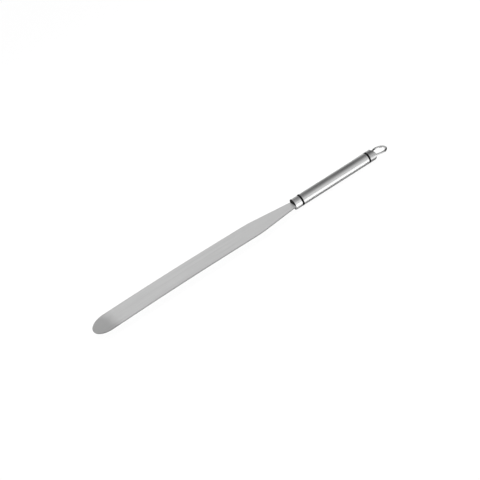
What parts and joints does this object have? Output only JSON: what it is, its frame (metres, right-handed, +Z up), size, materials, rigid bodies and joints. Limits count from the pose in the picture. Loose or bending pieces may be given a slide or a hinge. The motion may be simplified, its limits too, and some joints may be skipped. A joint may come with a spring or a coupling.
{
  "type": "flexible palette knife",
  "caption": "Long, thin, round-ended flexible steel blade on a round tube handle with black seals at both ends, and a wire loop to hang it by.",
  "frame": {"origin": "below the middle of the knife's length and width, on the surface that the handle lies on", "axes": "+X along the handle to the hanging loop, with the blade's tip towards -X; +Y to the side; +Z up, square to the flat of the blade"},
  "size_m": [0.4532, 0.0416, 0.016],
  "materials": {
    "blade_steel": "satin, with a fine grain along the blade",
    "tube_steel": "satin, brushed",
    "turned_steel": "semi-bright, turned",
    "polished_steel": "polished",
    "hidden_steel": "as drawn, hidden inside the handle",
    "seal_rubber": "matt black"
  },
  "bodies": {
    "handle": {"ferrule": "turned_steel", "tang": "blade_steel", "tang_pin": "hidden_steel", "front_seal": "seal_rubber", "handle_tube": "tube_steel", "tie_rod": "hidden_steel", "rear_seal": "seal_rubber", "end_cap": "turned_steel", "hanging_loop": "polished_steel"},
    "blade": {"blade": "blade_steel"}
  },
  "joints": [
    {"name": "blade_flex", "type": "hinge", "parent": "handle", "child": "blade", "pos_m": [0.07185, 0, 0.00797], "axis": [0, 1, 0], "range_deg": [-30, 30], "stiffness_Nm_per_rad": 6}
  ]
}
